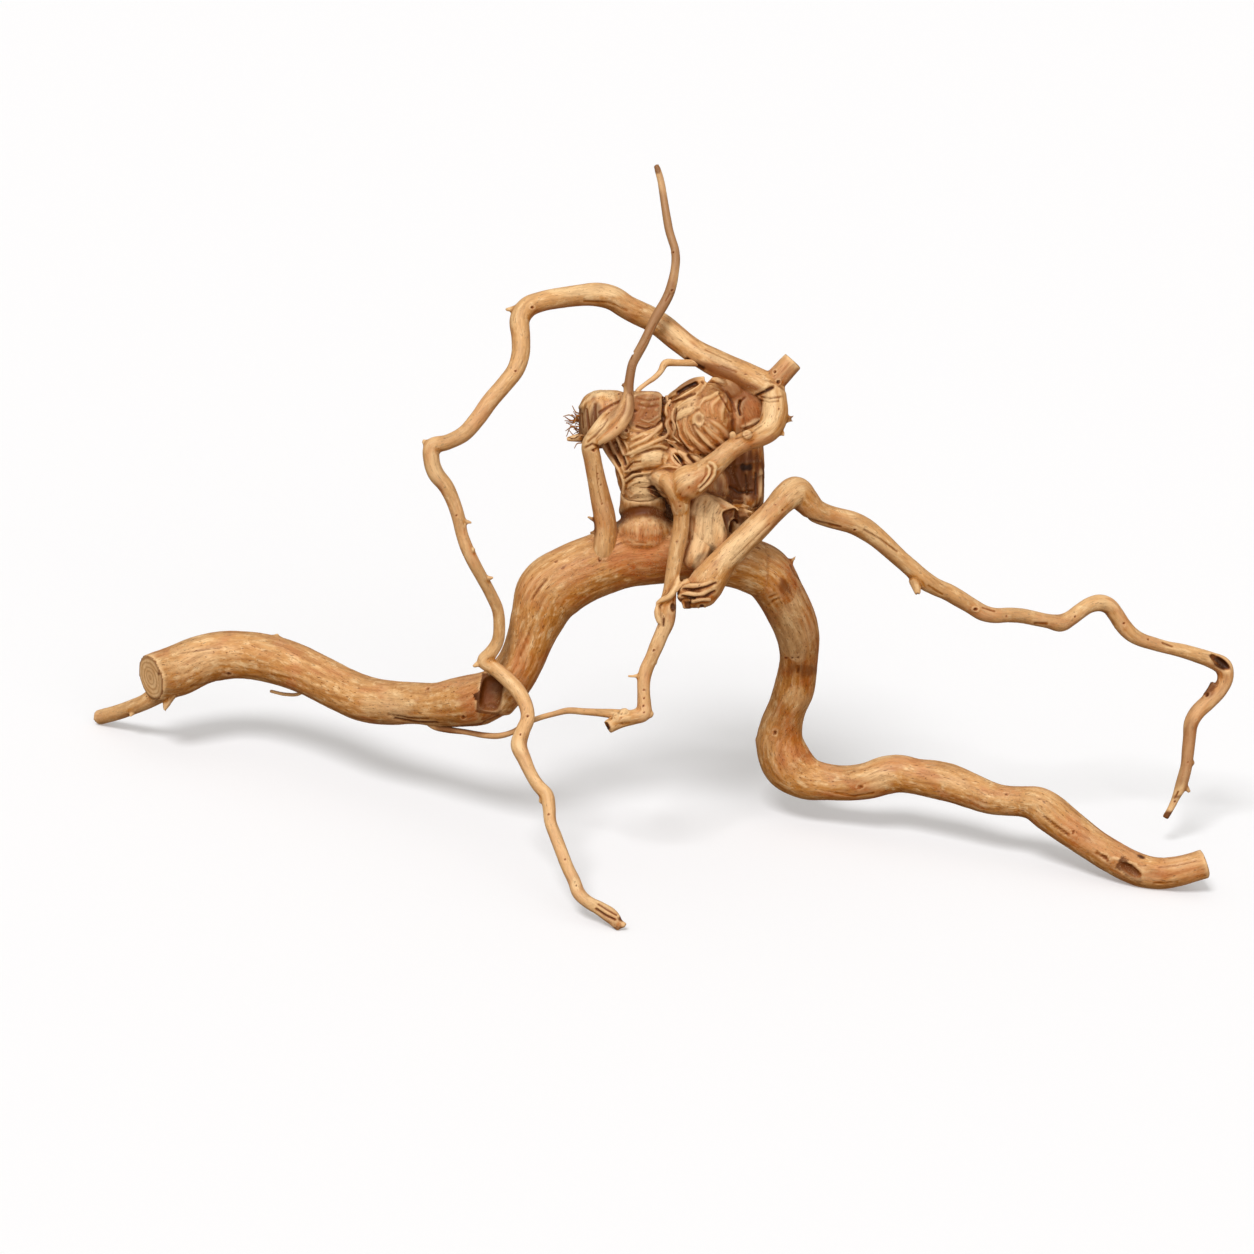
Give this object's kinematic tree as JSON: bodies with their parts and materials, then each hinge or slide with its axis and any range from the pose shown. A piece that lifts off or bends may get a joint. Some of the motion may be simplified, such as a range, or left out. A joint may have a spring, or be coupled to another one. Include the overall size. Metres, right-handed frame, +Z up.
{
  "type": "aquarium driftwood",
  "caption": "Branched root of spider wood with a gnarled crown, an arched trunk, a sawn log end, an open hoop limb and long thin limbs, standing on three points.",
  "frame": {"origin": "middle of the plan at floor level, under the arch of the trunk", "axes": "+Z up, -Y toward the viewer of the reference picture, +X to the viewer's right along the long span of the wood"},
  "size_m": [0.4756, 0.1682, 0.2664],
  "materials": {
    "wood": "dry debarked root wood, satin, honey tan with darker folds"
  },
  "bodies": {
    "root": {"driftwood": "wood"}
  },
  "joints": []
}
